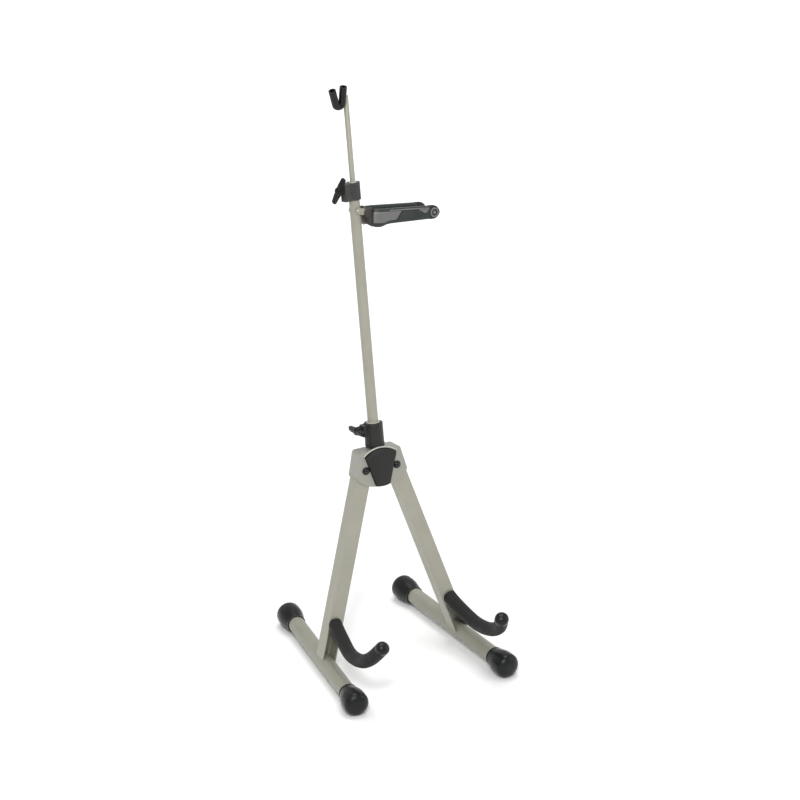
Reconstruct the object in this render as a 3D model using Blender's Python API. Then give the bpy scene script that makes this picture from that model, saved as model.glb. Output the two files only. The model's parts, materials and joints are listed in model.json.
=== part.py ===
"""Folding A-frame instrument stand with a height-adjustable mast, a neck yoke and a bow hook.

World frame: +Z up, -Y towards the instrument, +X to the stand's right leg. Lengths are metres.
"""
import math

import bmesh
import bpy
from mathutils import Matrix, Vector

MM = 0.001
GAP = 0.3 * MM                      # clearance left between neighbouring pieces

# Stance
FOOT_HEIGHT = 18.6 * MM             # foot tube axis above the floor
PIVOT_HEIGHT = 300.0 * MM           # leg pivots, on the mast axis level
MAST_BACK = 52.28 * MM              # mast axis at pivot level, behind the origin
HEAD_LEAN = math.radians(10.1)      # head and legs lean back
MAST_LEAN = math.radians(10.1)      # mast leans back
LEG_SPLAY = math.radians(17.05)     # each leg from the centre line
TOE_OUT = math.radians(5.3)         # each foot from straight ahead
PIVOT_X = 25.6 * MM

# Legs and feet
LEG_WIDTH, LEG_DEPTH, SHEET = 22.5 * MM, 23.5 * MM, 1.5 * MM
LEG_BACK = -2.95 * MM               # leg centre, behind the mast axis
TUBE_R, TUBE_WALL = 12.7 * MM, 1.5 * MM
FOOT_FRONT, FOOT_BACK = 123.2 * MM, 153.5 * MM   # leg joint to the centre of each end cap's bulb
CAP_R, CAP_REACH = 19.0 * MM, 12.0 * MM          # bulb radius, tube end to the bulb's centre
LEG_OPEN = 54.0 * MM                # front wall is open this far above the foot tube axis

# Instrument hooks, as points of the bent rod for the right leg (world axes from the foot joint)
HOOK_POINTS = [(-17.5, 25.9, 77.6), (-17.1, 3.8, 63.0), (-12.6, -32.9, 52.6), (-7.6, -72.6, 47.6),
               (-6.0, -111.3, 56.8), (-7.5, -141.8, 76.0), (-16.5, -166.6, 106.0)]
HOOK_ROD_R, HOOK_SLEEVE_R = 4.0 * MM, 10.5 * MM

# Head housing
HEAD_FRONT, HEAD_REAR = -16.5 * MM, 9.3 * MM     # outer face of front, inner face of rear plate
HEAD_TOP, HEAD_TOP_HALF = 28.7 * MM, 34.0 * MM
FLANGE_LOW, FLANGE_HALF = -9.0 * MM, 42.3 * MM
BOLT_R, SPACER_R = 2.5 * MM, 4.0 * MM

# Mast, rod and their clamps
MAST_R, MAST_WALL, MAST_LOW, MAST_TOP = 8.0 * MM, 1.5 * MM, -20.0 * MM, 418.0 * MM
COLLAR_R, COLLAR_LOW, COLLAR_TOP = 14.4 * MM, 30.5 * MM, 67.3 * MM
COLLAR_STUD = 58.5 * MM
BUSH_R, BUSH_NECK = 11.0 * MM, 1.8 * MM          # guide bush around the mast, wall of its neck
CLAMP_REACH = 20.5 * MM             # mast axis to the outer face of both clamp lugs
WING_START = CLAMP_REACH + 0.4 * MM
TOP_COLLAR_R, TOP_COLLAR_LOW, TOP_COLLAR_TOP = 10.6 * MM, 407.5 * MM, 433.5 * MM
TOP_COLLAR_STUD = 425.5 * MM
TOP_CLAMP_TURN = math.radians(15.0)
TOP_BUSH_R = 7.0 * MM
ROD_R, ROD_LOW, ROD_TOP = 4.0 * MM, 247.0 * MM, 562.5 * MM
TOP_HOOK_LOW = (-13.0, -3.8, 548.4)      # lowest point of the bow hook's centre line, in mm
TOP_HOOK_RISE = (-4.5, -10.0, 29.5)      # the way its prongs point
TOP_PRONG, TOP_SLEEVE_R, HOOK_WIRE_R = 24.0 * MM, 5.2 * MM, 2.4 * MM
STUD_R = 3.0 * MM
WING_SPAN = 24.5 * MM

# Yoke
YOKE_HEIGHT = 390.9 * MM            # hinge of the yoke along the mast
YOKE_TURN = math.radians(8.7)
YOKE_DROOP = math.radians(6.8)      # the yoke rests this far below square to the mast
YOKE_DROP = 9.2 * MM                # fork centre below its hinge
PRONG_HALF, PRONG_THICK = 17.5 * MM, 9.0 * MM
YOKE_BEND = 36.9 * MM               # centre of the round back
YOKE_TIP, TIP_R = 126.5 * MM, 9.8 * MM
BACK_HALF, LOBE = 12.0 * MM, 3.8 * MM    # half height of the fork's back, and the lobe below it
BRACKET_FLOOR = -1.2 * MM           # underside of the bracket, against the hinge axis
BRACKET_END = 23.5 * MM
YOKE_SCREW_OUT, YOKE_SCREW_SIDE = 19.2 * MM, 5.2 * MM

SEG = 24                            # sides of a main round piece
FINE = 16                           # sides of a small round piece


# ---------------------------------------------------------------- frames and materials

def leaning(angle):
    return Matrix.Translation((0, MAST_BACK, PIVOT_HEIGHT)) @ Matrix.Rotation(-angle, 4, 'X')


def mirrored(matrix, side):
    """The same frame for the other side of the stand."""
    flip = Matrix.Diagonal((side, 1, 1, 1))
    return flip @ matrix @ flip


HEAD = leaning(HEAD_LEAN)
MAST = leaning(MAST_LEAN)
YOKE = (MAST @ Matrix.Translation((0, 0, YOKE_HEIGHT)) @ Matrix.Rotation(YOKE_TURN, 4, 'Z')
        @ Matrix.Rotation(YOKE_DROOP, 4, 'Y'))
LEG = HEAD @ Matrix.Translation((PIVOT_X, LEG_BACK, 0)) @ Matrix.Rotation(-LEG_SPLAY, 4, 'Y')
LEG_LENGTH = ((PIVOT_HEIGHT - LEG_BACK * math.sin(HEAD_LEAN) - FOOT_HEIGHT)
              / (math.cos(HEAD_LEAN) * math.cos(LEG_SPLAY)))
FOOT_JOINT = LEG @ Vector((0, 0, -LEG_LENGTH))
FOOT = Matrix.Translation(FOOT_JOINT) @ Matrix.Rotation(TOE_OUT, 4, 'Z')

# Turns a shape made along +Z so that it points along -Y, +Y or -X.
TO_FRONT = Matrix.Rotation(math.pi / 2, 4, 'X')
TO_BACK = Matrix.Rotation(-math.pi / 2, 4, 'X')
TO_LEFT = Matrix.Rotation(-math.pi / 2, 4, 'Y')

COLOURS = {
    "paint": ((0.41, 0.40, 0.35), 0.38, 0.55),
    "steel": ((0.55, 0.55, 0.53), 0.30, 1.0),
    "brass": ((0.72, 0.55, 0.25), 0.30, 1.0),
    "black_plastic": ((0.025, 0.026, 0.025), 0.42, 0.0),
    "grey_plastic": ((0.075, 0.078, 0.08), 0.5, 0.0),
    "trim_plastic": ((0.19, 0.19, 0.19), 0.4, 0.0),
    "rubber": ((0.02, 0.021, 0.02), 0.45, 0.0),
    "foam": ((0.03, 0.032, 0.03), 0.8, 0.0),
    "nylon": ((0.7, 0.7, 0.66), 0.5, 0.0),
}


def material(name):
    found = bpy.data.materials.get(name)
    if found:
        return found
    colour, roughness, metallic = COLOURS[name]
    made = bpy.data.materials.new(name)
    made.use_nodes = True
    shader = made.node_tree.nodes["Principled BSDF"]
    shader.inputs["Base Color"].default_value = (*colour, 1)
    shader.inputs["Roughness"].default_value = roughness
    shader.inputs["Metallic"].default_value = metallic
    return made


def make_pivot(name, matrix, parent=None):
    """An empty on a joint's axis, which carries the pieces that move together."""
    pivot = bpy.data.objects.new(name, None)
    bpy.context.scene.collection.objects.link(pivot)
    pivot.empty_display_size = 0.02
    pivot["frame"] = [value for row in matrix for value in row]
    pivot.parent = parent
    if parent:
        pivot.matrix_parent_inverse = frame_of(parent).inverted()
    pivot.matrix_basis = matrix
    return pivot


def frame_of(pivot):
    values = list(pivot["frame"])
    return Matrix([values[i:i + 4] for i in (0, 4, 8, 12)])


def make_object(name, shape, slot, parent, place=Matrix()):
    """Links a bmesh as one object; place is its frame relative to its parent empty."""
    bmesh.ops.recalc_face_normals(shape, faces=shape.faces)
    mesh = bpy.data.meshes.new(name)
    shape.to_mesh(mesh)
    shape.free()
    mesh.shade_smooth()
    mesh.set_sharp_from_angle(angle=math.radians(35))
    piece = bpy.data.objects.new(name, mesh)
    bpy.context.scene.collection.objects.link(piece)
    if slot:
        mesh.materials.append(material(slot))
    piece.parent = parent
    piece.matrix_basis = place
    return piece


def combine(piece, shape, operation='DIFFERENCE', place=Matrix()):
    """Cuts a shape out of a piece, or joins it on; the shape is in the piece's own frame."""
    tool = make_object(piece.name + "_tool", shape, None, piece, place)
    tool.hide_render = True
    tool.display_type = 'WIRE'
    boolean = piece.modifiers.new(operation.lower(), 'BOOLEAN')
    boolean.operation = operation
    boolean.solver = 'EXACT'
    boolean.object = tool


# ---------------------------------------------------------------- shapes

def add_rings(shape, rings, ring_closed=True, loop_closed=False):
    """Joins successive rings of vertices with faces; a ring of one vertex is a pole."""
    pairs = list(zip(rings, rings[1:]))
    if loop_closed:
        pairs.append((rings[-1], rings[0]))
    for low, high in pairs:
        count = max(len(low), len(high))
        for i in range(count if ring_closed else count - 1):
            j = (i + 1) % count
            corners = [low[i % len(low)], low[j % len(low)], high[j % len(high)], high[i % len(high)]]
            unique = list(dict.fromkeys(corners))
            if len(unique) > 2:
                shape.faces.new(unique)


def turned(profile, sides=SEG):
    """Turns (radius, height) points about Z. Ends on the axis close it, else it is a closed ring."""
    shape = bmesh.new()
    rings = []
    for radius, height in profile:
        if radius == 0:
            rings.append([shape.verts.new((0, 0, height))])
            continue
        turns = [2 * math.pi * k / sides for k in range(sides)]
        rings.append([shape.verts.new((radius * math.cos(a), radius * math.sin(a), height)) for a in turns])
    solid = profile[0][0] == 0 and profile[-1][0] == 0
    add_rings(shape, rings, loop_closed=not solid)
    return shape


def rod_shape(radius, low, high, sides=SEG):
    return turned([(0, low), (radius, low), (radius, high), (0, high)], sides)


def ring_shape(outer, inner, low, high, sides=SEG):
    return turned([(inner, low), (outer, low), (outer, high), (inner, high)], sides)


def arc(centre, radius, start, end, steps):
    """Points on an arc, from start to end in degrees."""
    angles = [math.radians(start + (end - start) * k / steps) for k in range(steps + 1)]
    return [(centre[0] + radius * math.cos(a), centre[1] + radius * math.sin(a)) for a in angles]


def prism(outline, low, high, plane='XZ'):
    """Extrudes an outline drawn in a plane between two heights on the third axis."""
    order = {'XZ': (0, 2, 1), 'YZ': (1, 2, 0), 'XY': (0, 1, 2)}[plane]
    shape = bmesh.new()
    rings = []
    for height in (low, high):
        ring = []
        for point in outline:
            place = [0.0, 0.0, 0.0]
            for axis, value in zip(order, (*point, height)):
                place[axis] = value
            ring.append(shape.verts.new(place))
        rings.append(ring)
    add_rings(shape, rings)
    for ring in rings:
        shape.faces.new(ring)
    return shape


def block(x, y, z):
    """A box from (low, high) pairs."""
    return prism([(x[0], z[0]), (x[1], z[0]), (x[1], z[1]), (x[0], z[1])], y[0], y[1])


def bevelled(shape, width, steps=2, angle=30):
    """Rounds the sharp edges of a shape."""
    sharp = [edge for edge in shape.edges if edge.calc_face_angle(0) > math.radians(angle)]
    bmesh.ops.bevel(shape, geom=sharp, offset=width, segments=steps, profile=0.5, affect='EDGES')
    return shape


def spline(points, steps):
    """A smooth curve through the points (Catmull-Rom), with the given steps between each pair."""
    knots = [Vector(p) for p in points]
    knots = [2 * knots[0] - knots[1], *knots, 2 * knots[-1] - knots[-2]]
    curve = []
    for a, b, c, d in zip(knots, knots[1:], knots[2:], knots[3:]):
        for k in range(steps):
            t = k / steps
            curve.append(0.5 * (2 * b + (c - a) * t + (2 * a - 5 * b + 4 * c - d) * t * t
                                + (3 * b - a - 3 * c + d) * t ** 3))
    curve.append(knots[-2])
    return curve


def path_frames(path):
    """A side and an up direction square to the path at each of its points, without twist."""
    side = None
    frames = []
    for k, point in enumerate(path):
        along = (path[min(k + 1, len(path) - 1)] - path[max(k - 1, 0)]).normalized()
        if side is None:
            side = along.orthogonal().normalized()
        side = (side - along * side.dot(along)).normalized()
        frames.append((point, side, along.cross(side)))
    return frames


def swept(path, outer, inner=0.0, sides=FINE):
    """A round bar along a path, or a sleeve when it has an inner radius."""
    shape = bmesh.new()
    frames = path_frames(path)
    turns = [2 * math.pi * k / sides for k in range(sides)]

    def ring(frame, radius):
        point, side, up = frame
        spots = [point + radius * (math.cos(a) * side + math.sin(a) * up) for a in turns]
        return [shape.verts.new(spot) for spot in spots]

    outside = [ring(frame, outer) for frame in frames]
    if inner:
        inside = [ring(frame, inner) for frame in reversed(frames)]
        add_rings(shape, outside + inside, loop_closed=True)
        return shape
    add_rings(shape, outside)
    shape.faces.new(outside[0])
    shape.faces.new(outside[-1])
    return shape


def mirror_shape(shape, side):
    if side < 0:
        bmesh.ops.scale(shape, vec=(-1, 1, 1), verts=shape.verts)
    return shape


# ---------------------------------------------------------------- head

def head_outline(inset=0.0):
    """Front view of the head: rounded top corners, splayed flanges and a curved lower edge."""
    top, top_half = HEAD_TOP - inset, HEAD_TOP_HALF - inset
    corner = 5.0 * MM
    right = arc((top_half - corner, top - corner), corner, 90, 12, 3)
    right.append((FLANGE_HALF - inset, FLANGE_LOW))
    lobe = [(38.0 * MM, -15.5 * MM), (30.0 * MM, -21.8 * MM), (19.0 * MM, -26.0 * MM),
            (7.0 * MM, -28.0 * MM)]
    right += lobe
    return right + [(-x, z) for x, z in reversed(right)]


def cover_outline(inset=0.0):
    """Front view of the head cover: an arched top that tapers to a narrower, bowed foot."""
    half_top, half_low = 25.8 * MM - inset, 12.0 * MM - inset
    rise = arc((0, -11.0 * MM), 41.4 * MM - inset, 53, 127, 6)
    foot = [(-half_low, -26.6 * MM + inset), (0, -28.2 * MM + inset), (half_low, -26.6 * MM + inset)]
    shoulder = 20.5 * MM - inset
    return [(half_top, shoulder)] + rise + [(-half_top, shoulder)] + foot


def make_head(head, mast_axis):
    front = HEAD_FRONT
    shell = make_object("head_front_shell", prism(head_outline(), front, HEAD_REAR - GAP), "paint", head)
    inner = [(x, z) for x, z in head_outline(SHEET) if z > FLANGE_LOW - MM]
    half = FLANGE_HALF - SHEET
    below = [(half + 8 * MM, -40 * MM), (-half - 8 * MM, -40 * MM)]
    inner = inner[:len(inner) // 2] + below + inner[len(inner) // 2:]
    combine(shell, prism(inner, front + SHEET, 20 * MM))
    combine(shell, block((-60 * MM, 60 * MM), (front + SHEET, 20 * MM), (-40 * MM, FLANGE_LOW)))
    combine(shell, rod_shape(9.4 * MM, 20 * MM, 40 * MM))
    rear = make_object("head_rear_plate", prism(head_outline(), HEAD_REAR, HEAD_REAR + SHEET), "paint", head)
    for piece in (shell, rear):
        for side in (-1, 1):
            hole = rod_shape(BOLT_R + GAP, -40 * MM, 40 * MM, FINE)
            combine(piece, hole, place=Matrix.Translation((side * PIVOT_X, 0, 0)) @ TO_BACK)
    make_cover(head)
    for side, name in ((-1, "left"), (1, "right")):
        make_pivot_bolt(head, side, name)
    make_lower_collar(head, mast_axis)


def make_cover(head):
    """Moulded cover with a bevelled rim, clipped to the front of the head."""
    back, face = HEAD_FRONT - GAP, HEAD_FRONT - 5.2 * MM
    shape = bmesh.new()
    rings = []
    for depth, inset in ((back, 0.0), (face + 1.6 * MM, 0.0), (face, 1.6 * MM)):
        rings.append([shape.verts.new((x, depth, z)) for x, z in cover_outline(inset)])
    add_rings(shape, rings)
    shape.faces.new(rings[0])
    shape.faces.new(rings[-1])
    make_object("head_cover", shape, "black_plastic", head)


def make_pivot_bolt(head, side, name):
    axis = Matrix.Translation((side * PIVOT_X, 0, 0)) @ TO_FRONT
    under = -HEAD_FRONT + GAP
    rear = HEAD_REAR + SHEET
    dome = [(5.0 * MM * math.cos(a), under + 0.6 * MM + 3.0 * MM * math.sin(a))
            for a in (0, math.pi / 6, math.pi / 3)]
    profile = [(0, -rear - 5.5 * MM), (BOLT_R, -rear - 5.5 * MM), (BOLT_R, under), (5.0 * MM, under),
               *dome, (0, under + 3.6 * MM)]
    make_object("pivot_bolt_" + name, turned(profile, FINE), "black_plastic", head, axis)
    spacer = ring_shape(SPACER_R, BOLT_R + GAP, -HEAD_REAR + GAP, -HEAD_FRONT - SHEET - GAP, FINE)
    make_object("pivot_spacer_" + name, spacer, "steel", head, axis)
    nut = hex_nut(4.6 * MM, BOLT_R + GAP, -rear - 4.3 * MM, -rear - GAP)
    make_object("pivot_nut_" + name, nut, "steel", head, axis)


def hex_nut(outer, inner, low, high):
    """A hexagonal nut with a round hole."""
    shape = bmesh.new()
    rings = []
    corners = ((outer, low, False), (outer, high, False), (inner, high, True), (inner, low, True))
    for radius, height, round_hole in corners:
        ring = []
        for k in range(12):
            angle = math.pi * k / 6
            reach = radius if round_hole or k % 2 == 0 else radius * math.cos(math.pi / 6)
            ring.append(shape.verts.new((reach * math.cos(angle), reach * math.sin(angle), height)))
        rings.append(ring)
    add_rings(shape, rings, loop_closed=True)
    return shape


def make_clamp(piece, root, stud, width, heights, nut_at, turn=0.0):
    """Adds the side lug of a clamp collar, with its stud hole and nut pocket, pointing along -X."""
    spin = Matrix.Rotation(turn, 4, 'Z')
    lug = block((-CLAMP_REACH, -root), (-width / 2, width / 2), heights)
    combine(piece, bevelled(lug, 2.0 * MM), 'UNION', spin)
    level = spin @ Matrix.Translation((0, 0, stud)) @ TO_LEFT
    combine(piece, rod_shape(STUD_R + GAP, 2 * MM, 60 * MM, FINE), 'DIFFERENCE', level)
    combine(piece, rod_shape(5.9 * MM, nut_at, nut_at + 4.4 * MM, 6), 'DIFFERENCE', level)
    return level


def make_bush(name, bore, outer, low, high, neck_top, pivot):
    """Guide bush that turns in a collar; its neck comes out of the top."""
    neck = bore + BUSH_NECK
    profile = [(bore, low), (outer, low), (outer, high), (neck, high), (neck, neck_top), (bore, neck_top)]
    make_object(name, turned(profile), "nylon", pivot)


def make_lower_collar(head, mast_axis):
    low, top, edge = COLLAR_LOW, COLLAR_TOP, 1.2 * MM
    foot, lip, pocket = MAST_R + 0.8 * MM, MAST_R + BUSH_NECK + 2 * GAP, BUSH_R + GAP
    profile = [(foot, low), (COLLAR_R - edge, low), (COLLAR_R, low + edge), (COLLAR_R, top - edge),
               (COLLAR_R - edge, top), (lip, top), (lip, top - 2 * MM), (pocket, top - 2 * MM),
               (pocket, low + 2 * MM), (foot, low + 2 * MM)]
    collar = make_object("lower_collar", turned(profile), "black_plastic", mast_axis)
    lug = (48.5 * MM, 66 * MM)
    stud = make_clamp(collar, BUSH_R + 0.8 * MM, COLLAR_STUD, 14 * MM, lug, 13.4 * MM)
    nut = hex_nut(5.5 * MM, STUD_R + GAP, 13.7 * MM, 17.5 * MM)
    make_object("lower_clamp_nut", nut, "brass", mast_axis, stud)
    body = (low + 2.3 * MM, top - 2.3 * MM)
    make_bush("mast_guide_bush", MAST_R + GAP, BUSH_R, *body, top + 1.2 * MM, mast_axis)


# ---------------------------------------------------------------- wing screws

def wing_outline():
    """Half of the wing in (span, axial) terms: a blade that widens and sweeps outwards to its tip."""
    tip = arc((WING_SPAN - 3.6 * MM, 7.6 * MM), 3.6 * MM, -60, 120, 5)
    return [(2.0 * MM, 1.0 * MM), (8.0 * MM, 1.0 * MM)] + tip + [(10.0 * MM, 8.4 * MM), (2.0 * MM, 7.6 * MM)]


def make_wing_screw(name, pivot, tip):
    """Knob with two blades on a threaded stud; the pivot's +Z is the way the screw points out."""
    start = WING_START
    crown, socket = start + 9.0 * MM, start + 6.3 * MM
    hub = [(0, crown + 1.2 * MM), (4.4 * MM, crown + 0.6 * MM), (6.6 * MM, crown - 2 * MM),
           (7.0 * MM, start), (STUD_R + GAP, start), (STUD_R + GAP, socket), (0, socket)]
    knob = make_object(name + "_wing_knob", turned(hub, FINE), "black_plastic", pivot)
    for side in (-1, 1):
        outline = [(side * span, start + axial) for span, axial in wing_outline()]
        blade = bevelled(prism(outline, -2.5 * MM, 2.5 * MM), 0.9 * MM, 1, 60)
        combine(knob, blade, 'UNION')
    combine(knob, rod_shape(STUD_R + GAP, start - 5 * MM, socket, FINE))
    make_object(name + "_clamp_stud", rod_shape(STUD_R, tip, socket - GAP, FINE), "steel", pivot)


# ---------------------------------------------------------------- legs

def leg_outline(inset, low):
    """Front view of a leg below its pivot."""
    half = LEG_WIDTH / 2 - inset
    return [(-half, 0), (-half, low), (half, low), (half, 0)]


def leg_hollow(top):
    """Front view of the inside of a leg, up to the given height."""
    outline = leg_outline(SHEET, -LEG_LENGTH - 30 * MM)
    return [(x, top if z == 0 else z) for x, z in outline]


def make_leg(leg, side, name):
    depth, foot = LEG_DEPTH / 2, -LEG_LENGTH
    outer = leg_outline(0.0, foot)[1:-1] + arc((0, 0), LEG_WIDTH / 2, 0, 180, 8)
    shape = bevelled(prism(outer, -depth, depth), 1.6 * MM, 2, 80)
    channel = make_object("leg_channel_" + name, mirror_shape(shape, side), "paint", leg)
    combine(channel, prism(leg_hollow(40 * MM), -depth + SHEET, depth - SHEET))
    combine(channel, prism(leg_hollow(foot + LEG_OPEN), -depth - 5 * MM, 0))
    tube_place = mirrored(LEG.inverted() @ FOOT, side) @ TO_FRONT
    combine(channel, rod_shape(TUBE_R + GAP, -60 * MM, 60 * MM), place=tube_place)
    combine(channel, rod_shape(SPACER_R + GAP, -30 * MM, 30 * MM, FINE), place=TO_BACK)
    hook_hole = swept(hook_path(0, 9), HOOK_ROD_R + GAP, sides=12)
    place = mirrored(LEG.inverted() @ Matrix.Translation(FOOT_JOINT), side)
    combine(channel, mirror_shape(hook_hole, side), place=place)


def make_foot(leg, side, name):
    foot = mirrored(LEG.inverted() @ FOOT, side)
    tube = ring_shape(TUBE_R, TUBE_R - TUBE_WALL, CAP_REACH - FOOT_BACK, FOOT_FRONT - CAP_REACH)
    make_object("foot_tube_" + name, tube, "paint", leg, foot @ TO_FRONT)
    for end, place, length in (("front", TO_FRONT, FOOT_FRONT), ("rear", TO_BACK, FOOT_BACK)):
        profile = cap_profile(length)
        cap = make_object(end + "_cap_" + name, turned(profile), "rubber", leg, foot @ place)
        floor = block((-40 * MM, 40 * MM), (-40 * MM, 40 * MM), (-40 * MM, -FOOT_HEIGHT))
        combine(cap, floor, place=place.inverted() @ Matrix.Translation(place @ Vector((0, 0, length))))


def cap_profile(centre):
    """Rubber end cap: a thin rim that flares to a bulb with a domed end."""
    rim = centre - 27.0 * MM
    bulb = [(CAP_R, centre - 1.0 * MM), (CAP_R, centre + 8.0 * MM)]
    dome = [(CAP_R * math.cos(a) ** 0.8, centre + 8.0 * MM + 12.0 * MM * math.sin(a))
            for a in (0.44, 0.79, 1.13, 1.40)]
    bore, tube_end = TUBE_R + GAP, centre - CAP_REACH + GAP
    return [(0, tube_end), (bore, tube_end), (bore, rim), (14.3 * MM, rim),
            (14.6 * MM, rim + 2.5 * MM), (17.9 * MM, centre - 9.0 * MM), *bulb, *dome,
            (0, centre + 20.0 * MM)]


def hook_path(first=0, last=None, steps=3):
    """The hook's centre line, relative to the right foot joint, in world directions."""
    curve = spline([Vector(p) * MM for p in HOOK_POINTS], steps)
    return curve[first:last]


def make_hook(leg, side, name):
    place = mirrored(LEG.inverted() @ Matrix.Translation(FOOT_JOINT), side)
    bar = swept(hook_path(1, -1), HOOK_ROD_R, sides=12)
    make_object("hook_rod_" + name, mirror_shape(bar, side), "steel", leg, place)
    sleeve = swept(hook_path(3, -1), HOOK_SLEEVE_R, HOOK_ROD_R + GAP, 14)
    sleeve = make_object("hook_sleeve_" + name, mirror_shape(sleeve, side), "foam", leg, place)
    wall = block((-40 * MM, 40 * MM), (-LEG_DEPTH / 2 - GAP, 60 * MM), (-LEG_LENGTH, 0))
    combine(sleeve, wall, place=place.inverted())
    make_hook_tip(leg, side, name, place)


def make_hook_tip(leg, side, name, place):
    """Rounded plug that closes the end of the foam sleeve."""
    end, before = hook_path()[-1], hook_path()[-2]
    along = (end - before).normalized()
    start = before + along * GAP
    turn = along.to_track_quat('Z', 'Y').to_matrix().to_4x4()
    radius = HOOK_SLEEVE_R - 0.6 * MM
    straight, crown = 5.3 * MM, 9.0 * MM
    dome = [(radius * math.cos(a), straight + crown * math.sin(a)) for a in (0, 0.44, 0.87, 1.26)]
    shape = turned([(0, 0), (radius, 0), *dome, (0, straight + crown)], FINE)
    shape.transform(Matrix.Translation(start) @ turn)
    make_object("hook_tip_" + name, mirror_shape(shape, side), "rubber", leg, place)


# ---------------------------------------------------------------- mast and rod

def make_mast(mast):
    wall = ring_shape(MAST_R, MAST_R - MAST_WALL, MAST_LOW, MAST_TOP)
    tube = make_object("mast_tube", wall, "paint", mast)
    hinge = Matrix.Translation((0, 0, YOKE_HEIGHT)) @ Matrix.Rotation(YOKE_TURN, 4, 'Z') @ TO_BACK
    combine(tube, rod_shape(3.3 * MM, -20 * MM, 20 * MM, FINE), place=hinge)
    inner = MAST_R - MAST_WALL - GAP
    plug = [(0, MAST_LOW - 2.0 * MM), (MAST_R - 0.4 * MM, MAST_LOW - 2.0 * MM),
            (MAST_R, MAST_LOW - 1.4 * MM), (MAST_R, MAST_LOW - GAP), (inner, MAST_LOW - GAP),
            (inner, MAST_LOW + 8 * MM), (0, MAST_LOW + 8 * MM)]
    make_object("mast_end_plug", turned(plug), "black_plastic", mast)
    for side, name in ((-1, "left"), (1, "right")):
        rivet = [(0, 5.0 * MM), (3.0 * MM, 5.0 * MM), (3.0 * MM, 10.2 * MM), (4.3 * MM, 10.2 * MM),
                 (4.2 * MM, 10.8 * MM), (3.0 * MM, 11.8 * MM), (0, 12.1 * MM)]
        flip = Matrix.Rotation(math.pi if side < 0 else 0, 4, 'X')
        make_object("yoke_rivet_" + name, turned(rivet, FINE), "paint", mast, hinge @ flip)
    make_upper_collar(mast)


def make_upper_collar(mast):
    low, top, edge = TOP_COLLAR_LOW, TOP_COLLAR_TOP, 1.0 * MM
    bore, pocket, lip = MAST_R + GAP, TOP_BUSH_R + GAP, ROD_R + BUSH_NECK + 2 * GAP
    profile = [(bore, low), (TOP_COLLAR_R - edge, low), (TOP_COLLAR_R, low + edge),
               (TOP_COLLAR_R, top - edge), (TOP_COLLAR_R - edge, top), (lip, top), (lip, top - 2 * MM),
               (pocket, top - 2 * MM), (pocket, MAST_TOP + GAP), (bore, MAST_TOP + GAP)]
    collar = make_object("upper_collar", turned(profile), "black_plastic", mast)
    lug = (408.5 * MM, 432.5 * MM)
    stud = make_clamp(collar, MAST_R + 0.8 * MM, TOP_COLLAR_STUD, 12 * MM, lug, 12.6 * MM, TOP_CLAMP_TURN)
    nut = hex_nut(5.5 * MM, STUD_R + GAP, 12.9 * MM, 16.7 * MM)
    make_object("upper_clamp_nut", nut, "brass", mast, stud)
    body = (MAST_TOP + 2 * GAP, top - 2.3 * MM)
    make_bush("rod_guide_bush", ROD_R + GAP, TOP_BUSH_R, *body, top + 1.0 * MM, mast)


def make_rod(rod):
    profile = [(0, ROD_LOW), (ROD_R, ROD_LOW), (ROD_R, ROD_TOP - 1.5 * MM), (ROD_R - 1.2 * MM, ROD_TOP),
               (0, ROD_TOP)]
    make_object("rod", turned(profile, FINE), "paint", rod)
    ring = ring_shape(6.1 * MM, ROD_R + GAP, ROD_LOW + 2 * MM, ROD_LOW + 10 * MM, FINE)
    make_object("rod_end_guide", ring, "nylon", rod)
    path = top_hook_path()
    wire = make_object("top_hook_wire", swept(path, HOOK_WIRE_R, sides=12), "steel", rod)
    root = path[-3]
    weld = Vector((root.x, root.y, 0)).normalized() * (ROD_R + GAP) + Vector((0, 0, root.z))
    stub = [weld, weld.lerp(root, 0.5), root]
    combine(wire, swept(stub, 2.0 * MM, sides=12), 'UNION')
    hose = swept(path, TOP_SLEEVE_R, HOOK_WIRE_R + GAP, 12)
    sleeve = make_object("top_hook_sleeve", hose, "rubber", rod)
    combine(sleeve, swept(stub, 2.0 * MM + GAP, sides=12))


def top_hook_path():
    """Centre line of the V-shaped bow hook: two prongs that open upwards and lean forward."""
    bend, splay = TOP_SLEEVE_R + 0.3 * MM, math.radians(9.0)
    rise = Vector(TOP_HOOK_RISE).normalized()
    spread = Vector((1, 0.08, 0))
    spread = (spread - rise * spread.dot(rise)).normalized()
    centre = Vector(TOP_HOOK_LOW) * MM + rise * bend
    round_end = [centre + bend * (spread * math.cos(a) + rise * math.sin(a))
                 for a in (math.pi + splay + (math.pi - 2 * splay) * k / 8 for k in range(9))]
    left, right = [rise * math.cos(splay) + spread * math.sin(splay) * side for side in (-1, 1)]
    prongs = [TOP_PRONG * k / 3 for k in (1, 2, 3)]
    return ([round_end[0] + left * reach for reach in reversed(prongs)] + round_end
            + [round_end[-1] + right * reach for reach in prongs])


# ---------------------------------------------------------------- yoke

def yoke_line(offset, reach, steps=8):
    """Plan view of the fork: one prong, the round back and the other prong, moved inwards by offset."""
    half = PRONG_HALF - offset
    back = [(YOKE_BEND + half * math.cos(a), half * math.sin(a))
            for a in (math.radians(270 - 180 * k / steps) for k in range(steps + 1))]
    straight = [YOKE_BEND + (reach - YOKE_BEND) * k / 4 for k in range(1, 5)]
    return ([(u, -half) for u in reversed(straight)] + back + [(u, half) for u in straight])


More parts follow.
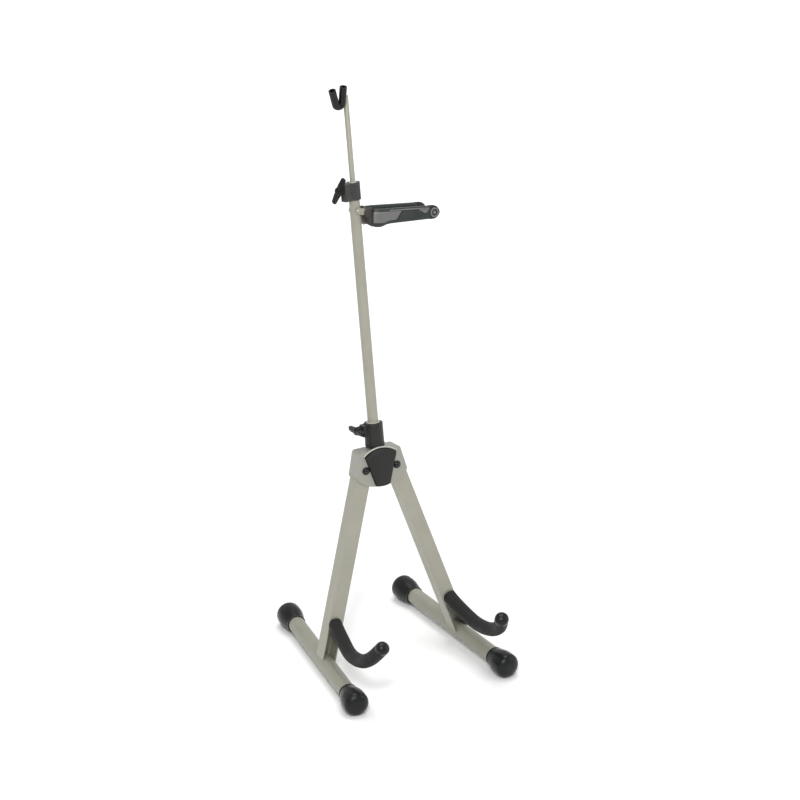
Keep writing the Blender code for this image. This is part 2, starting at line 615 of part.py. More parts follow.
def loft_yoke(line, thick, heights):
    """Lofts an eight-sided section along a plan line; heights gives (low, high) at each point."""
    shape = bmesh.new()
    rings = []
    for k, (u, n) in enumerate(line):
        ahead, behind = line[min(k + 1, len(line) - 1)], line[max(k - 1, 0)]
        along = Vector((ahead[0] - behind[0], ahead[1] - behind[1], 0)).normalized()
        side = Vector((-along.y, along.x, 0))
        low, high = heights(u)
        cut = min(2.4 * MM, thick * 0.3, (high - low) * 0.3)
        half = thick / 2
        section = [(-half, low + cut), (-half + cut, low), (half - cut, low), (half, low + cut),
                   (half, high - cut), (half - cut, high), (-half + cut, high), (-half, high - cut)]
        centre = Vector((u, n, 0))
        rings.append([shape.verts.new(centre + side * s + Vector((0, 0, w))) for s, w in section])
    add_rings(shape, rings)
    shape.faces.new(rings[0])
    shape.faces.new(rings[-1])
    return shape


def fork_heights(u):
    """Lower and upper edge of the fork: deep at the back with a lobe below, slimmer towards the tips."""
    taper = min(max((u - 20 * MM) / (YOKE_TIP - 20 * MM), 0.0), 1.0)
    half = BACK_HALF + (TIP_R - BACK_HALF) * taper
    lobe = LOBE * max(0.0, 1.0 - max(0.0, u - 34 * MM) / (11 * MM))
    if u > YOKE_TIP:
        half = math.sqrt(max(TIP_R ** 2 - (u - YOKE_TIP) ** 2, (1.4 * MM) ** 2))
    return -YOKE_DROP - half - lobe, -YOKE_DROP + half


def liner_heights(u):
    """The soft liner is a band 0.72 times as high as the prongs."""
    return [value * 0.72 - YOKE_DROP * 0.28 for value in fork_heights(max(u, 34 * MM))]


def make_yoke(yoke):
    line = yoke_line(0.0, YOKE_TIP)
    tips = [YOKE_TIP + TIP_R * math.sin(math.radians(a)) for a in (30, 55, 75, 86)]
    line = [(u, -PRONG_HALF) for u in reversed(tips)] + line + [(u, PRONG_HALF) for u in tips]
    fork = make_object("yoke_fork", loft_yoke(line, PRONG_THICK, fork_heights), "grey_plastic", yoke)
    notch = MAST_R + SHEET + 2 * GAP
    combine(fork, block((0, YOKE_BEND), (-notch, notch), (BRACKET_FLOOR - GAP, 30 * MM)))
    for side in (-1, 1):
        hole = rod_shape(1.5 * MM, -12 * MM, 5 * MM, 12)
        combine(fork, hole, place=Matrix.Translation((YOKE_SCREW_OUT, side * YOKE_SCREW_SIDE, 0)))
    lining = yoke_line(PRONG_THICK / 2 + GAP + 1.25 * MM, 116 * MM)
    make_object("yoke_liner", loft_yoke(lining, 2.5 * MM, liner_heights), "rubber", yoke)
    make_yoke_bracket(yoke)
    for side, name in ((-1, "left"), (1, "right")):
        make_yoke_side(yoke, side, name)


def make_yoke_bracket(yoke):
    """Channel let into the top of the fork's back, with two cheeks that turn on the mast's rivets."""
    floor, inner, outer = BRACKET_FLOOR, MAST_R + GAP, MAST_R + GAP + SHEET
    web = [(8.0 * MM, floor), (BRACKET_END, floor), (BRACKET_END, floor + SHEET + GAP)]
    side_view = arc((0, 0), 6.5 * MM, 90, 250, 6) + web
    bracket = make_object("yoke_bracket", prism(side_view, -outer, outer), "paint", yoke)
    combine(bracket, block((-20 * MM, 30 * MM), (-inner, inner), (floor + SHEET, 20 * MM)))
    combine(bracket, block((-20 * MM, 13.4 * MM), (-inner, inner), (-20 * MM, 20 * MM)))
    combine(bracket, rod_shape(3.3 * MM, -20 * MM, 20 * MM, FINE), place=TO_BACK)
    top = floor + SHEET + GAP
    for side, name in ((-1, "left"), (1, "right")):
        place = Matrix.Translation((YOKE_SCREW_OUT, side * YOKE_SCREW_SIDE, 0))
        combine(bracket, rod_shape(1.5 * MM, -9 * MM, 5 * MM, 12), place=place)
        screw = [(0, -9.0 * MM), (1.2 * MM, -9.0 * MM), (1.2 * MM, top), (2.3 * MM, top),
                 (2.1 * MM, top + 0.9 * MM), (0, top + 1.3 * MM)]
        make_object("yoke_screw_" + name, turned(screw, 12), "steel", yoke, place)


def make_yoke_side(yoke, side, name):
    """Outer face of a prong: a raised trim with a window, a blank plate in it, and the tip button."""
    face = PRONG_HALF + PRONG_THICK / 2 + GAP
    span = sorted((side * face, side * (face + 1.2 * MM)))
    margin = 2.6 * MM

    def edge(u, upper, inset):
        low, high = fork_heights(u)
        return (u, high - margin - inset) if upper else (u, low + margin + inset)

    def band(start, end, inset, slant):
        return [edge(start, False, inset), edge(end - slant, False, inset), edge(end, True, inset),
                edge(start + slant, True, inset)]

    panel = prism(band(38 * MM, 114 * MM, 0.0, 0.0), *span)
    trim = make_object("yoke_trim_" + name, panel, "trim_plastic", yoke)
    window = prism(band(60 * MM, 102 * MM, 1.6 * MM, 5 * MM), -60 * MM, 60 * MM)
    combine(trim, window)
    plate_span = sorted((side * face, side * (face + 0.7 * MM)))
    plate = prism(band(60.4 * MM, 101.6 * MM, 1.9 * MM, 5 * MM), *plate_span)
    make_object("yoke_plate_" + name, plate, "black_plastic", yoke)
    button = [(0, 0), (7.6 * MM, 0), (7.6 * MM, 1.2 * MM), (6.9 * MM, 1.9 * MM), (5.4 * MM, 1.9 * MM),
              (4.9 * MM, 1.2 * MM), (0, 1.2 * MM)]
    place = Matrix.Translation((YOKE_TIP, side * face, -YOKE_DROP)) @ (TO_BACK if side > 0 else TO_FRONT)
    make_object("yoke_tip_button_" + name, turned(button, FINE), "trim_plastic", yoke, place)


# ---------------------------------------------------------------- assembly

def screw_frame(height, turn, wings):
    """World frame of a clamp screw: +Z points out of the collar, wings is the blades' turn in degrees."""
    lug = MAST @ Matrix.Rotation(turn, 4, 'Z') @ Matrix.Translation((0, 0, height))
    return lug @ TO_LEFT @ Matrix.Rotation(math.radians(wings), 4, 'Z')


def build():
    for old in list(bpy.data.objects):
        bpy.data.objects.remove(old, do_unlink=True)
    head = make_pivot("head_frame", HEAD)
    mast_axis = make_pivot("mast_axis", MAST, head)
    make_head(head, mast_axis)
    for side, name in ((-1, "left"), (1, "right")):
        leg = make_pivot("leg_pivot_" + name, mirrored(LEG, side), head)
        make_leg(leg, side, name)
        make_foot(leg, side, name)
        make_hook(leg, side, name)
    mast = make_pivot("mast_frame", MAST, mast_axis)
    make_mast(mast)
    make_rod(make_pivot("rod_frame", MAST, mast))
    make_yoke(make_pivot("yoke_hinge", YOKE, mast))
    lower = screw_frame(COLLAR_STUD, 0.0, 90.0)
    make_wing_screw("lower", make_pivot("lower_screw_axis", lower, head), BUSH_R + 0.6 * MM)
    upper = screw_frame(TOP_COLLAR_STUD, TOP_CLAMP_TURN, -35.0)
    make_wing_screw("upper", make_pivot("upper_screw_axis", upper, mast), TOP_BUSH_R + 0.6 * MM)


build()
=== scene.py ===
"""Looks of the folding instrument stand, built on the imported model. Lengths are metres."""
import json
import math

import bmesh
import bpy
from mathutils import Matrix, Vector


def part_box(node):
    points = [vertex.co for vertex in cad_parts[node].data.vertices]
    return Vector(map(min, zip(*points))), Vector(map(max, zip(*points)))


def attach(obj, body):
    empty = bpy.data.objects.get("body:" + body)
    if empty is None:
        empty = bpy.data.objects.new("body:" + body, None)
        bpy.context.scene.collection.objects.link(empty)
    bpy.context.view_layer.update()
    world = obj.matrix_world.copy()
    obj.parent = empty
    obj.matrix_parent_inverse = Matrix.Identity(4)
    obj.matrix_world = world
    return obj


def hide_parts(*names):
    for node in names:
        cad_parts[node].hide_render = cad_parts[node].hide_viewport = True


MM = 0.001
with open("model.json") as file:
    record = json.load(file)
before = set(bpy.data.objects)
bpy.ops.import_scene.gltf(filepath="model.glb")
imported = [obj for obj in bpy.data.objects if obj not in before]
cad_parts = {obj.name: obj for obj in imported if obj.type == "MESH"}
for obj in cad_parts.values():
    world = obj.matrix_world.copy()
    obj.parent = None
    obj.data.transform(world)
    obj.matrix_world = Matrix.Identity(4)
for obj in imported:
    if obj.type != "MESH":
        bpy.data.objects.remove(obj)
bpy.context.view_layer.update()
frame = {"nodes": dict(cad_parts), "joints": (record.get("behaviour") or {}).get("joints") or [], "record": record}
NODES = frame["nodes"]
JOINTS = {joint["name"]: joint for joint in frame["joints"]}
SIDES = ((-1, "left"), (1, "right"))

# Driving sizes of the stand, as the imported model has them
LEG_BACK, PIVOT_X, LEG_SPLAY = -2.95 * MM, 25.6 * MM, math.radians(17.05)
TOE_OUT = math.radians(5.3)
LEG_DEPTH = 23.5 * MM
TUBE_R, FOOT_FRONT, FOOT_BACK = 12.7 * MM, 123.2 * MM, 153.5 * MM
CAP_R, CAP_REACH = 19.0 * MM, 12.0 * MM
HOOK_POINTS = [(-17.5, 25.9, 77.6), (-17.1, 3.8, 63.0), (-12.6, -32.9, 52.6), (-7.6, -72.6, 47.6),
               (-6.0, -111.3, 56.8), (-7.5, -141.8, 76.0), (-16.5, -166.6, 106.0)]
SLEEVE_R = 10.5 * MM
HEAD_FRONT, COVER_CROWN = -16.5 * MM, 41.4 * MM       # face of the head, radius of its cover's top edge
COLLAR_R, COLLAR_LOW, COLLAR_TOP, COLLAR_STUD = 14.4 * MM, 30.5 * MM, 67.3 * MM, 58.5 * MM
TOP_R, TOP_LOW, TOP_TOP, TOP_STUD = 10.6 * MM, 407.5 * MM, 433.5 * MM, 425.5 * MM
TOP_TURN = math.radians(15.0)
CLAMP_REACH, WING_START, WING_SPAN = 20.5 * MM, 20.9 * MM, 24.5 * MM
LUG_LOW, LUG_TOP, LUG_WIDTH, TOP_LUG_WIDTH = 48.5 * MM, 66 * MM, 14 * MM, 12 * MM
MAST_R, MAST_LOW, MAST_TOP = 8.0 * MM, -20.0 * MM, 418.0 * MM
ROD_R, ROD_LOW, ROD_TOP = 4.0 * MM, 247.0 * MM, 562.5 * MM
YOKE_DROP, PRONG_HALF, PRONG_THICK = 9.2 * MM, 17.5 * MM, 9.0 * MM
YOKE_BEND, YOKE_TIP, TIP_R, YOKE_DROOP = 36.9 * MM, 126.5 * MM, 9.8 * MM, math.radians(6.8)
BACK_HALF, LOBE = 12.0 * MM, 3.8 * MM
NOTCH_HALF, NOTCH_FLOOR = 11.3 * MM, -1.5 * MM
TOP_HOOK_LOW, TOP_HOOK_RISE, TOP_PRONG = (-13.0, -3.8, 548.4), (-4.5, -10.0, 29.5), 25.5 * MM
TOP_SLEEVE_R, HOOK_WIRE_R = 5.2 * MM, 2.4 * MM
FLOOR_HALF, FLOOR_DROP = 14, 0.2 * MM
LIGHT_TARGET = (0, 0, 0.35)

# ---------------------------------------------------------------- frames of the moving parts


def axes_frame(x, y, z, origin):
    matrix = Matrix((x, y, z)).transposed().to_4x4()
    matrix.translation = origin
    return matrix


def head_frame():
    """Origin on the mast axis at the level of the leg pivots, like the mast's; +Y to the rear, +Z up."""
    joint = JOINTS["right_leg_fold"]
    x, y = Vector((1, 0, 0)), Vector(joint["axis"])
    pivot = Vector((0, joint["pos_m"][1], joint["pos_m"][2]))
    return axes_frame(x, y, x.cross(y), pivot - LEG_BACK * y)


def mast_frame():
    joint = JOINTS["mast_swivel"]
    x, z = Vector((1, 0, 0)), Vector(joint["axis"])
    return axes_frame(x, z.cross(x), z, Vector(joint["pos_m"]) - COLLAR_STUD * z)


def yoke_frame():
    """Origin on the hinge, +X out along the prongs."""
    joint = JOINTS["yoke_fold"]
    y, z = -Vector(joint["axis"]), Vector(JOINTS["mast_swivel"]["axis"])
    square = axes_frame(y.cross(z), y, z, Vector(joint["pos_m"]))
    return square @ Matrix.Rotation(YOKE_DROOP, 4, 'Y')


def foot_frame():
    """Frame of the right foot: origin where the leg meets the tube, -Y along the tube to the front."""
    low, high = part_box("foot_tube_right")
    turn = Matrix.Rotation(TOE_OUT, 4, 'Z')
    middle = (FOOT_FRONT - FOOT_BACK) / 2
    return Matrix.Translation((low + high) / 2) @ turn @ Matrix.Translation((0, middle, 0))


HEAD, MAST, YOKE, FOOT = head_frame(), mast_frame(), yoke_frame(), foot_frame()
LEG = HEAD @ Matrix.Translation((PIVOT_X, LEG_BACK, 0)) @ Matrix.Rotation(-LEG_SPLAY, 4, 'Y')
TO_FRONT = Matrix.Rotation(math.pi / 2, 4, 'X')
TO_BACK = Matrix.Rotation(-math.pi / 2, 4, 'X')
TO_LEFT = Matrix.Rotation(-math.pi / 2, 4, 'Y')


def screw_frame(height, turn, wings):
    """Frame of a clamp screw: +Z points out of the collar, wings is the blades' turn in degrees."""
    lug = MAST @ Matrix.Rotation(turn, 4, 'Z') @ Matrix.Translation((0, 0, height))
    return lug @ TO_LEFT @ Matrix.Rotation(math.radians(wings), 4, 'Z')


# ---------------------------------------------------------------- camera, floor and light

def make_camera():
    data = bpy.data.cameras.new("camera")
    data.lens, data.sensor_width, data.clip_end = 154.40, 36.0, 60.0
    camera = bpy.data.objects.new("camera", data)
    bpy.context.scene.collection.objects.link(camera)
    camera.location = (-2.0328, -4.06883, 2.56714)
    camera.rotation_euler = (math.radians(64.827), 0, math.radians(-26.69))
    bpy.context.scene.camera = camera


def make_floor():
    shape = bmesh.new()
    corners = [(-FLOOR_HALF, -FLOOR_HALF), (FLOOR_HALF, -FLOOR_HALF), (FLOOR_HALF, FLOOR_HALF),
               (-FLOOR_HALF, FLOOR_HALF)]
    shape.faces.new([shape.verts.new((x, y, -FLOOR_DROP)) for x, y in corners])
    mesh = bpy.data.meshes.new("floor")
    shape.to_mesh(mesh)
    floor = bpy.data.objects.new("floor", mesh)
    bpy.context.scene.collection.objects.link(floor)
    paper = finish("floor_paper", (0.88, 0.88, 0.88), 0.9, grain=(90, 0.0), blotch=(3, 0.0))
    floor.data.materials.append(paper)


def make_world():
    world = bpy.data.worlds.new("studio")
    world.use_nodes = True
    world.node_tree.nodes["Background"].inputs["Color"].default_value = (1, 1, 1, 1)
    world.node_tree.nodes["Background"].inputs["Strength"].default_value = 0.72
    bpy.context.scene.world = world
    bpy.context.scene.view_settings.view_transform = 'Standard'


def area_light(name, position, size, power):
    data = bpy.data.lights.new(name, 'AREA')
    data.shape, data.size, data.energy = 'DISK', size, power
    light = bpy.data.objects.new(name, data)
    bpy.context.scene.collection.objects.link(light)
    light.location = position
    light.rotation_euler = (Vector(LIGHT_TARGET) - Vector(position)).to_track_quat('-Z', 'Y').to_euler()


def backdrop_light(position, cone, power):
    """Evens out the floor behind the stand; its cone stays clear of the stand."""
    data = bpy.data.lights.new("backdrop", 'SPOT')
    data.energy, data.spot_size, data.spot_blend = power, math.radians(cone), 1.0
    data.shadow_soft_size = 0.6
    light = bpy.data.objects.new("backdrop", data)
    light.location = position
    bpy.context.scene.collection.objects.link(light)


def make_lights():
    area_light("key", (-1.6, -2.6, 3.2), 0.75, 80)
    area_light("fill", (2.8, -1.6, 1.6), 2.0, 14)
    area_light("top", (0.2, 0.4, 3.4), 1.8, 45)
    backdrop_light((1.5, 3.0, 3.0), 96, 230)


# ---------------------------------------------------------------- materials

def add_node(tree, kind, **values):
    made = tree.nodes.new(kind)
    for name, value in values.items():
        made.inputs[name].default_value = value
    return made


def noise_factor(tree, position, scale, detail=3.0, low=0.35, high=0.65):
    """A 0 to 1 factor from noise over the object's own coordinates; scale is per metre."""
    noise = add_node(tree, "ShaderNodeTexNoise", Scale=scale, Detail=detail)
    tree.links.new(position, noise.inputs["Vector"])
    spread = tree.nodes.new("ShaderNodeMapRange")
    spread.inputs["From Min"].default_value = low
    spread.inputs["From Max"].default_value = high
    tree.links.new(noise.outputs["Fac"], spread.inputs["Value"])
    return spread.outputs["Result"]


def base_colour(tree, large, fine, colour, spread, speck):
    """The colour with its large variation, and specks of another shade where the fine noise is high."""
    ramp = tree.nodes.new("ShaderNodeValToRGB")
    for stop, factor in zip(ramp.color_ramp.elements, (1 - spread, 1 + spread)):
        stop.color = (*[min(1.0, value * factor) for value in colour], 1)
    tree.links.new(large, ramp.inputs["Fac"])
    if not speck:
        return ramp.outputs["Color"]
    amount, shade = speck
    mix = tree.nodes.new("ShaderNodeMix")
    mix.data_type = 'RGBA'
    mix.inputs["B"].default_value = (*shade, 1)
    weight = tree.nodes.new("ShaderNodeMath")
    weight.operation = 'MULTIPLY'
    weight.inputs[1].default_value = amount
    tree.links.new(fine, weight.inputs[0])
    tree.links.new(weight.outputs[0], mix.inputs["Factor"])
    tree.links.new(ramp.outputs["Color"], mix.inputs["A"])
    return mix.outputs["Result"]


def finish(name, colour, roughness, metallic=0.0, grain=(900, 0.1), blotch=(26, 0.08), speck=None,
           coat=0.0, rough_spread=0.07, specular=0.5):
    """Procedural finish: large and fine colour variation, uneven gloss and a fine bump."""
    made = bpy.data.materials.new(name)
    made.use_nodes = True
    tree = made.node_tree
    shader = tree.nodes["Principled BSDF"]
    constants = {"Metallic": metallic, "Coat Weight": coat, "Coat Roughness": 0.25,
                 "Specular IOR Level": specular}
    for socket, value in constants.items():
        shader.inputs[socket].default_value = value
    position = tree.nodes.new("ShaderNodeTexCoord").outputs["Object"]
    large = noise_factor(tree, position, blotch[0])
    fine = noise_factor(tree, position, grain[0], 4.0)
    tree.links.new(base_colour(tree, large, fine, colour, blotch[1], speck), shader.inputs["Base Color"])
    gloss = tree.nodes.new("ShaderNodeMapRange")
    gloss.inputs["To Min"].default_value = max(0.05, roughness - rough_spread)
    gloss.inputs["To Max"].default_value = min(1.0, roughness + rough_spread)
    tree.links.new(large, gloss.inputs["Value"])
    tree.links.new(gloss.outputs["Result"], shader.inputs["Roughness"])
    bump = add_node(tree, "ShaderNodeBump", Strength=grain[1], Distance=0.0006)
    tree.links.new(fine, bump.inputs["Height"])
    tree.links.new(bump.outputs["Normal"], shader.inputs["Normal"])
    return made


PAINT = finish("satin_paint", (0.295, 0.288, 0.235), 0.42, 0.2, (2200, 0.10), (30, 0.04),
               speck=(0.14, (0.45, 0.44, 0.39)), coat=0.1)
TUBE_PAINT = finish("foot_paint", (0.245, 0.242, 0.196), 0.42, 0.2, (2200, 0.10), (30, 0.05),
                    speck=(0.14, (0.40, 0.39, 0.34)), coat=0.1)
HEAD_PAINT = finish("head_paint", (0.28, 0.276, 0.24), 0.40, 0.25, (2200, 0.10), (30, 0.03),
                    speck=(0.16, (0.44, 0.43, 0.39)), coat=0.15)
# Lighter paint for the ridge above the head cover: a painted highlight along the ridge.
RIDGE_HIGHLIGHT_PAINT = finish("ridge_highlight_paint", (0.42, 0.415, 0.37), 0.34, 0.2, (2200, 0.08), (30, 0.03), coat=0.2)
STEEL = finish("zinc_steel", (0.52, 0.52, 0.50), 0.30, 1.0, (1300, 0.12), (60, 0.08))
BRASS = finish("brass", (0.70, 0.53, 0.24), 0.30, 1.0, (1300, 0.12), (60, 0.1))
BLACK = finish("black_plastic", (0.009, 0.009, 0.0085), 0.34, grain=(1500, 0.16), blotch=(40, 0.14),
               specular=0.3)
COVER = finish("cover_plastic", (0.015, 0.0145, 0.0135), 0.42, grain=(1700, 0.22), blotch=(40, 0.1),
               specular=0.3)
COLLAR = finish("collar_plastic", (0.017, 0.0165, 0.015), 0.36, grain=(1500, 0.18), blotch=(50, 0.14),
                specular=0.3)
UPPER_COLLAR = finish("upper_collar_plastic", (0.036, 0.036, 0.034), 0.36, grain=(1500, 0.18),
                      blotch=(50, 0.16), specular=0.35)
WING = finish("wing_plastic", (0.004, 0.004, 0.0038), 0.36, grain=(1500, 0.16), blotch=(40, 0.14),
              specular=0.2)
DOME = finish("bolt_black", (0.002, 0.002, 0.002), 0.16, grain=(900, 0.02), blotch=(60, 0.12),
              rough_spread=0.03, specular=0.42)
YOKE_BACK = finish("yoke_soft_touch", (0.042, 0.036, 0.032), 0.52, grain=(1500, 0.2), blotch=(45, 0.14),
                   specular=0.35)
YOKE_TRIM = finish("yoke_trim", (0.122, 0.122, 0.118), 0.38, grain=(1700, 0.12), blotch=(50, 0.1))
YOKE_PLATE = finish("yoke_plate", (0.020, 0.026, 0.025), 0.40, grain=(1700, 0.15), blotch=(60, 0.18),
                    specular=0.35)
RUBBER = finish("black_rubber", (0.006, 0.0072, 0.0066), 0.26, grain=(1100, 0.14), blotch=(45, 0.2),
                specular=0.25)
FOAM = finish("black_foam", (0.0075, 0.008, 0.0072), 0.60, grain=(2600, 0.42), blotch=(55, 0.18),
              speck=(0.25, (0.024, 0.025, 0.023)), specular=0.25)
NYLON = finish("natural_nylon", (0.50, 0.50, 0.45), 0.45, grain=(900, 0.08), blotch=(60, 0.06))

CAD_FINISH = {"satin_paint": PAINT, "zinc_steel": STEEL, "brass": BRASS, "black_plastic": BLACK,
              "grey_plastic": YOKE_BACK, "light_grey_plastic": YOKE_TRIM, "black_rubber": RUBBER,
              "black_foam": FOAM, "nylon": NYLON}


def finish_nodes():
    """Every CAD node takes the finish of its material slot in the record; the pressed head has its own."""
    for part in frame["record"]["subparts"]:
        mesh = NODES[part["node"]].data
        mesh.materials.clear()
        mesh.materials.append(CAD_FINISH[part["material_slot"]])
    for node in ("head_front_shell", "head_rear_plate"):
        NODES[node].data.materials[0] = HEAD_PAINT


# ---------------------------------------------------------------- shapes

def piece(name, shape, look, body, replaced=(), place=Matrix(), bevel=0.0, sharp=38):
    """Makes one shown object from a shape; edges that turn by more than sharp degrees stay crisp."""
    shape.transform(place)
    bmesh.ops.recalc_face_normals(shape, faces=shape.faces)
    for face in shape.faces:
        face.smooth = True
    for edge in shape.edges:
        edge.smooth = len(edge.link_faces) < 2 or edge.calc_face_angle(0) < math.radians(sharp)
    mesh = bpy.data.meshes.new(name)
    shape.to_mesh(mesh)
    shape.free()
    mesh.materials.append(look)
    made = bpy.data.objects.new(name, mesh)
    bpy.context.scene.collection.objects.link(made)
    if bevel:
        rounding = made.modifiers.new("bevel", 'BEVEL')
        rounding.width, rounding.segments, rounding.limit_method = bevel, 3, 'ANGLE'
        rounding.angle_limit = math.radians(30)
        rounding.harden_normals = True
    if replaced:
        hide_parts(*replaced)
    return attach(made, body)


def join_rings(shape, rings, closed=False):
    """Joins equal rings of vertices into a body; its ends are capped unless it closes on itself."""
    pairs = list(zip(rings, rings[1:]))
    if closed:
        pairs.append((rings[-1], rings[0]))
    for first, second in pairs:
        count = len(first)
        for k in range(count):
            shape.faces.new((first[k], first[(k + 1) % count], second[(k + 1) % count], second[k]))
    if not closed:
        shape.faces.new(rings[0])
        shape.faces.new(rings[-1])


def turned(profile, sides=64, closed=False):
    """Turns (radius, height) points about Z; points on the axis are left out, as the ends are capped."""
    shape = bmesh.new()
    rings = []
    for radius, height in profile:
        rings.append([shape.verts.new((radius * math.cos(a), radius * math.sin(a), height))
                      for a in (2 * math.pi * k / sides for k in range(sides))])
    join_rings(shape, rings, closed)
    return shape


def arc(centre, radius, start, end, steps):
    """Points round a centre, from one angle to another in degrees."""
    angles = [math.radians(start + (end - start) * k / steps) for k in range(steps + 1)]
    return [(centre[0] + radius * math.cos(a), centre[1] + radius * math.sin(a)) for a in angles]


def prism(outline, low, high, plane='XZ'):
    """Extrudes an outline between two depths: XZ along Y, XY along Z."""
    shape = bmesh.new()
    rings = []
    for depth in (low, high):
        points = [(a, depth, b) if plane == 'XZ' else (a, b, depth) for a, b in outline]
        rings.append([shape.verts.new(point) for point in points])
    join_rings(shape, rings)
    return shape


def spline(points, steps):
    """Catmull-Rom curve through the points."""
    points = [points[0] * 2 - points[1], *points, points[-1] * 2 - points[-2]]
    curve = []
    for k in range(1, len(points) - 2):
        a, b, c, d = points[k - 1:k + 3]
        for step in range(steps):
            t = step / steps
            curve.append(0.5 * ((2 * b) + (c - a) * t + (2 * a - 5 * b + 4 * c - d) * t * t
                                + (3 * b - a - 3 * c + d) * t ** 3))
    curve.append(points[-2])
    return curve


def sweep_frames(path):
    """Two directions across the path at each of its points, turned as little as possible along it."""
    frames, across = [], None
    for k in range(len(path)):
        along = (path[min(k + 1, len(path) - 1)] - path[max(k - 1, 0)]).normalized()
        across = along.orthogonal() if across is None else across - along * across.dot(along)
        across = across.normalized()
        frames.append((across, along.cross(across)))
    return frames


def swept(path, radii, frames, sides):
    """Sweeps a circle along a path; radii and frames have one entry for each point of the path."""
    shape = bmesh.new()
    rings = []
    turns = [2 * math.pi * n / sides for n in range(sides)]
    for point, radius, (across, other) in zip(path, radii, frames):
        rings.append([shape.verts.new(point + radius * (math.cos(a) * across + math.sin(a) * other))
                      for a in turns])
    join_rings(shape, rings)
    return shape


def mirrored(shape, side):
    """Everything on the legs is made for the right one and mirrored for the left."""
    if side < 0:
        bmesh.ops.scale(shape, vec=(-1, 1, 1), verts=shape.verts)
    return shape


# ---------------------------------------------------------------- feet and hooks

def cap_profile(centre):
    """Rubber end cap: lip, waist, flare and a bulb with a slightly flattened end."""
    rim = centre - 27.0 * MM
    rows = [(13.1, 0.0), (13.9, -0.1), (14.5, 0.5), (14.6, 2.4), (14.3, 3.0), (14.9, 5.5), (16.6, 12.0),
            (17.9, 17.5), (18.7, 22.0), (19.0, 26.5), (19.0, 35.0)]
    profile = [(radius * MM, rim + height * MM) for radius, height in rows]
    for a in (12, 24, 36, 48, 60, 70, 79, 86):
        turn = math.radians(a)
        profile.append((CAP_R * math.cos(turn) ** 0.8, centre + 8.0 * MM + 12.0 * MM * math.sin(turn)))
    return profile


def make_foot(side, name):
    body = name + "_leg"
    tube = turned([(TUBE_R, -FOOT_BACK + CAP_REACH), (TUBE_R, FOOT_FRONT - CAP_REACH)])
    tube.transform(FOOT @ TO_FRONT)
    piece("foot_tube_skin_" + name, mirrored(tube, side), TUBE_PAINT, body,
          ["foot_tube_" + name])
    for end, turn, length in (("front", TO_FRONT, FOOT_FRONT), ("rear", TO_BACK, FOOT_BACK)):
        cap = turned(cap_profile(length))
        cap.transform(FOOT @ turn)
        for vertex in cap.verts:
            vertex.co.z = max(vertex.co.z, 0.0)
        node = end + "_cap_" + name
        piece(node + "_moulded", mirrored(cap, side), RUBBER, body, [node])


def hook_curve(steps):
    origin = FOOT.translation
    return spline([origin + Vector(point) * MM for point in HOOK_POINTS], steps)


def make_hook(side, name):
    """Foam sleeve from the leg to the tip, and the rounded plug that closes it."""
    curve = hook_curve(12)
    front = LEG.inverted()
    start = next(k for k, point in enumerate(curve) if (front @ point).y < -LEG_DEPTH / 2 - 0.5 * MM)
    sleeve = curve[start - 2:-3]
    radii = [SLEEVE_R] * len(sleeve)
    radii[-1] = SLEEVE_R - 0.3 * MM
    shape = swept(sleeve, radii, sweep_frames(sleeve), 40)
    wall = LEG @ Vector((0, -LEG_DEPTH / 2 - 0.3 * MM, 0))
    normal = LEG.to_3x3() @ Vector((0, -1, 0))
    everything = list(shape.verts) + list(shape.edges) + list(shape.faces)
    cut = bmesh.ops.bisect_plane(shape, geom=everything, plane_co=wall, plane_no=-normal, clear_outer=True)
    rim = [item for item in cut["geom_cut"] if isinstance(item, bmesh.types.BMEdge)]
    bmesh.ops.edgeloop_fill(shape, edges=rim)
    made = piece("hook_foam_" + name, mirrored(shape, side), FOAM, name + "_leg",
                 ["hook_sleeve_" + name])
    make_hook_tip(curve, side, name)


def make_hook_tip(curve, side, name):
    start, along = curve[-4], (curve[-1] - curve[-4]).normalized()
    length = (curve[-1] - start).length + 3.2 * MM
    radius, crown = SLEEVE_R + 0.15 * MM, 8.5 * MM
    rows = [(radius - 0.3 * MM, 0.0), (radius, 0.4 * MM)]
    for a in (0, 12, 24, 36, 48, 60, 70, 79, 86):
        turn = math.radians(a)
        rows.append((radius * math.cos(turn), length - crown + crown * math.sin(turn)))
    shape = turned(rows, 40)
    shape.transform(Matrix.Translation(start) @ along.to_track_quat('Z', 'Y').to_matrix().to_4x4())
    node = "hook_tip_" + name
    piece(node + "_moulded", mirrored(shape, side), RUBBER, name + "_leg", [node])


# ---------------------------------------------------------------- head

def crown(radius, low_turn, high_turn, steps):
    """The arc along the top of the cover."""
    return arc((0, -11.0 * MM), radius, low_turn, high_turn, steps)


def cover_outline(inset):
    """Front view of the cover: a wedge with a round top and a slightly round foot."""
    half, low = 25.8 * MM - inset, 12.0 * MM - inset
    shoulder, heel = 19.8 * MM - inset, -25.6 * MM + inset
    rise = crown(COVER_CROWN - inset, 52, 128, 20)
    foot = arc((0, 18.0 * MM), 46.2 * MM - inset, 270 - 15, 270 + 15, 8)
    return [(half, shoulder)] + rise + [(-half, shoulder), (-low, heel)] + foot[1:-1] + [(low, heel)]


